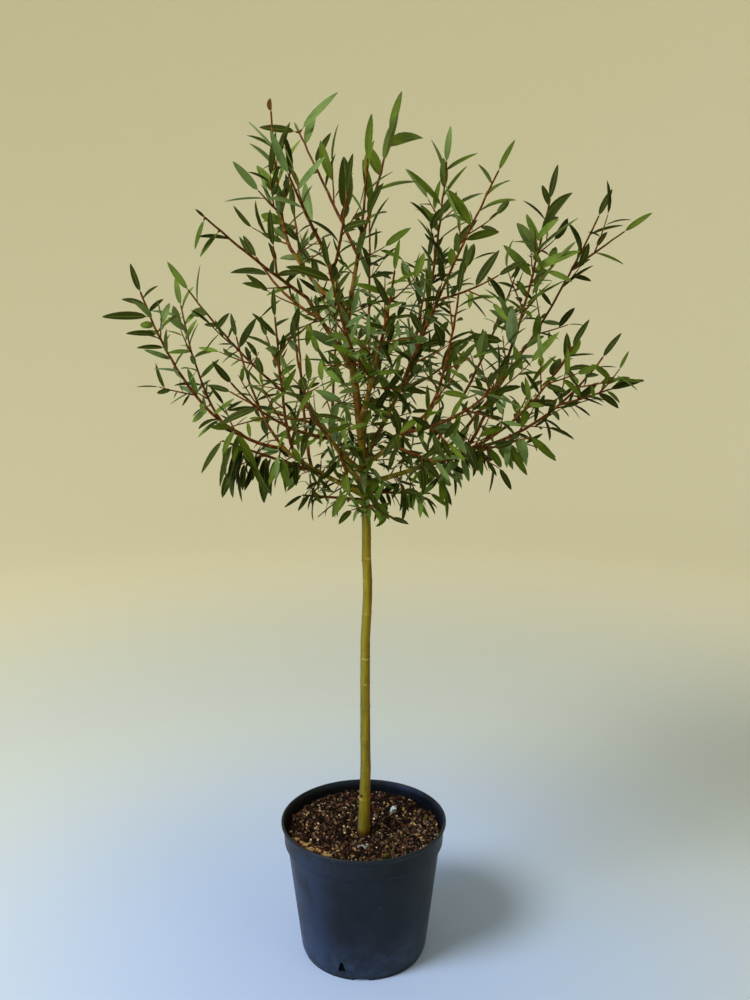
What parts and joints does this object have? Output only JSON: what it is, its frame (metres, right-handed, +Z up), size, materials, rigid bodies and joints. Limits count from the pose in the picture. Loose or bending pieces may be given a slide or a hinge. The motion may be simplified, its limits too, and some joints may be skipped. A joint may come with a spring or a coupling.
{
  "type": "potted willow tree",
  "caption": "Young willow trained as a small standard tree: a slender clear stem, a round head of rising shoots with narrow leaves, and a round plastic nursery pot filled with bark soil.",
  "frame": {"origin": "centre of the pot's flat underside", "axes": "+Z up along the stem, +X to the right and +Y away from the viewer as the picture shows it"},
  "size_m": [0.6566, 0.552, 1.116],
  "materials": {
    "pot_plastic": "satin",
    "soil": "matte",
    "bark": "satin",
    "foliage": "satin"
  },
  "bodies": {
    "root": {"pot": "pot_plastic", "soil": "soil", "trunk": "bark", "bough_low_left": "bark", "bough_low_right": "bark", "bough_front_left": "bark", "bough_back_left": "bark", "bough_front_right": "bark", "bough_centre_right": "bark", "bough_back": "bark", "bough_front": "bark", "bough_mid_left": "bark", "bough_top_left": "bark", "bough_top_right": "bark", "bough_top_centre": "bark", "foliage_left_outer": "foliage", "foliage_left_inner": "foliage", "foliage_left_upright": "foliage", "foliage_left_behind": "foliage", "foliage_left_under": "foliage", "foliage_left_foot": "foliage", "foliage_mid_left": "foliage", "foliage_mid_left_behind": "foliage", "foliage_top_left": "foliage", "foliage_top_left_behind": "foliage", "foliage_top_centre": "foliage", "foliage_top_middle": "foliage", "foliage_top_front": "foliage", "foliage_top_right": "foliage", "foliage_top_companion": "foliage", "foliage_centre_tall": "foliage", "foliage_centre_leaning": "foliage", "foliage_centre_behind": "foliage", "foliage_front_small": "foliage", "foliage_front_high": "foliage", "foliage_front_right": "foliage", "foliage_front_right_low": "foliage", "foliage_front_right_under": "foliage", "foliage_front_left": "foliage", "foliage_front_left_low": "foliage", "foliage_front_under": "foliage", "foliage_front_foot": "foliage", "foliage_right_tall": "foliage", "foliage_right_outer": "foliage", "foliage_right_forward": "foliage", "foliage_right_far": "foliage", "foliage_right_behind": "foliage", "foliage_right_under": "foliage", "foliage_right_foot": "foliage", "foliage_back_left": "foliage", "foliage_back_left_low": "foliage", "foliage_back_left_high": "foliage", "foliage_back_under": "foliage", "foliage_back_far": "foliage", "foliage_back_high": "foliage", "foliage_back_right": "foliage"}
  },
  "joints": []
}
